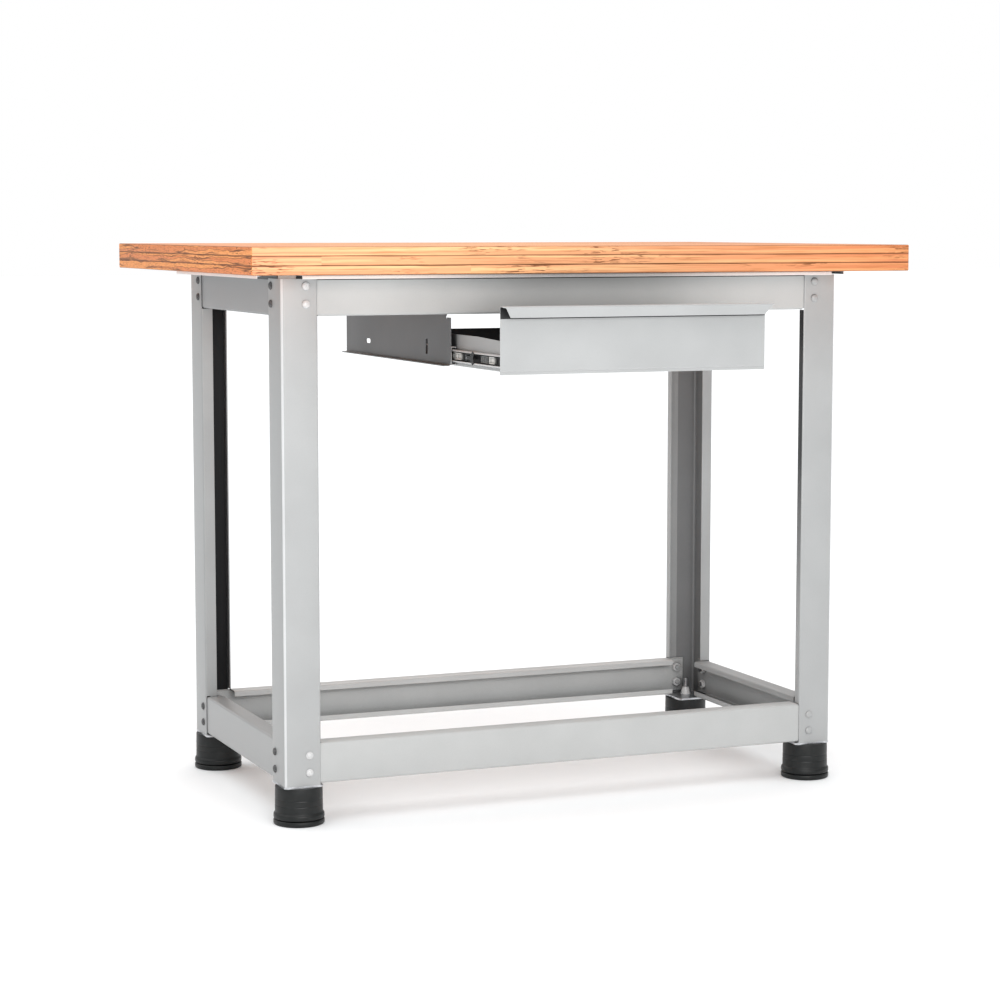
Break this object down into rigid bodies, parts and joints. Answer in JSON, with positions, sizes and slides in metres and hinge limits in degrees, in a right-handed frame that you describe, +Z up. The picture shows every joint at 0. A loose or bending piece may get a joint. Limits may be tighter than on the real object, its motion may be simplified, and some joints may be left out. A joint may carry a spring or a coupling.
{
  "type": "workbench with drawer",
  "caption": "Free-standing workbench: laminated wooden top on a bolted frame of folded sheet steel, with levelling feet and one hanging drawer on ball-bearing slides.",
  "frame": {"origin": "on the floor, under the middle of the steel frame", "axes": "+X to the right, -Y to the front where the drawer opens, +Z up"},
  "size_m": [1.055, 0.8917, 0.85],
  "materials": {
    "beech": "satin clear lacquer over glued beech layers",
    "grey_paint": "light grey fine-texture powder coat",
    "zinc_steel": "bright zinc plate",
    "black_plastic": "moulded black plastic",
    "white_nylon": "natural white nylon"
  },
  "bodies": {
    "frame": {"worktop_upper_layer": "beech", "worktop_middle_layer": "beech", "worktop_lower_layer": "beech", "front_left_post": "grey_paint", "front_left_foot_plate": "zinc_steel", "front_left_foot_sleeve": "black_plastic", "front_right_post": "grey_paint", "front_right_foot_plate": "zinc_steel", "front_right_foot_sleeve": "black_plastic", "rear_left_post": "grey_paint", "rear_left_foot_plate": "zinc_steel", "rear_left_foot_sleeve": "black_plastic", "rear_right_post": "grey_paint", "rear_right_foot_plate": "zinc_steel", "rear_right_foot_sleeve": "black_plastic", "front_top_rail": "grey_paint", "front_lower_rail": "grey_paint", "rear_top_rail": "grey_paint", "rear_lower_rail": "grey_paint", "left_top_rail": "grey_paint", "left_lower_rail": "grey_paint", "right_top_rail": "grey_paint", "right_lower_rail": "grey_paint", "frame_bolts": "zinc_steel", "frame_nuts": "zinc_steel", "worktop_screws": "zinc_steel", "hanger_screws": "zinc_steel", "foot_bosses": "zinc_steel", "left_drawer_hanger": "grey_paint", "left_slide_outer_member": "zinc_steel", "right_drawer_hanger": "grey_paint", "right_slide_outer_member": "zinc_steel"},
    "drawer": {"drawer_tray": "grey_paint", "drawer_front": "grey_paint", "drawer_front_screws": "zinc_steel", "slide_screws": "zinc_steel", "lever_pins": "zinc_steel", "left_slide_inner_member": "zinc_steel", "left_slide_guide_blocks": "white_nylon", "right_slide_inner_member": "zinc_steel", "right_slide_guide_blocks": "white_nylon"},
    "left_ball_cage": {"left_slide_ball_cage": "zinc_steel", "left_slide_balls": "zinc_steel"},
    "left_lever": {"left_slide_release_lever": "black_plastic"},
    "right_ball_cage": {"right_slide_ball_cage": "zinc_steel", "right_slide_balls": "zinc_steel"},
    "right_lever": {"right_slide_release_lever": "black_plastic"},
    "front_left_foot": {"front_left_foot_base": "black_plastic", "front_left_foot_stud": "zinc_steel"},
    "front_right_foot": {"front_right_foot_base": "black_plastic", "front_right_foot_stud": "zinc_steel"},
    "rear_left_foot": {"rear_left_foot_base": "black_plastic", "rear_left_foot_stud": "zinc_steel"},
    "rear_right_foot": {"rear_right_foot_base": "black_plastic", "rear_right_foot_stud": "zinc_steel"}
  },
  "joints": [
    {"name": "drawer_travel", "type": "slide", "parent": "frame", "child": "drawer", "axis": [0, -1, 0], "range_m": [-0.209, 0.091]},
    {"name": "left_cage_travel", "type": "slide", "parent": "frame", "child": "left_ball_cage", "axis": [0, -1, 0], "range_m": [-0.1045, 0.0455]},
    {"name": "right_cage_travel", "type": "slide", "parent": "frame", "child": "right_ball_cage", "axis": [0, -1, 0], "range_m": [-0.1045, 0.0455]},
    {"name": "left_lever_swing", "type": "hinge", "parent": "drawer", "child": "left_lever", "pos_m": [-0.186, -0.292, 0.6875], "axis": [1, 0, 0], "range_deg": [-4, 4], "stiffness_Nm_per_rad": 0.02},
    {"name": "right_lever_swing", "type": "hinge", "parent": "drawer", "child": "right_lever", "pos_m": [0.204, -0.292, 0.6875], "axis": [1, 0, 0], "range_deg": [-4, 4], "stiffness_Nm_per_rad": 0.02},
    {"name": "front_left_foot_screw", "type": "slide", "parent": "frame", "child": "front_left_foot", "axis": [0, 0, -1], "range_m": [0, 0.012]},
    {"name": "front_right_foot_screw", "type": "slide", "parent": "frame", "child": "front_right_foot", "axis": [0, 0, -1], "range_m": [0, 0.012]},
    {"name": "rear_left_foot_screw", "type": "slide", "parent": "frame", "child": "rear_left_foot", "axis": [0, 0, -1], "range_m": [0, 0.012]},
    {"name": "rear_right_foot_screw", "type": "slide", "parent": "frame", "child": "rear_right_foot", "axis": [0, 0, -1], "range_m": [0, 0.012]}
  ],
  "couplings": [
    {"joint": "left_cage_travel", "follows": "drawer_travel", "ratio": 0.5},
    {"joint": "right_cage_travel", "follows": "drawer_travel", "ratio": 0.5}
  ]
}
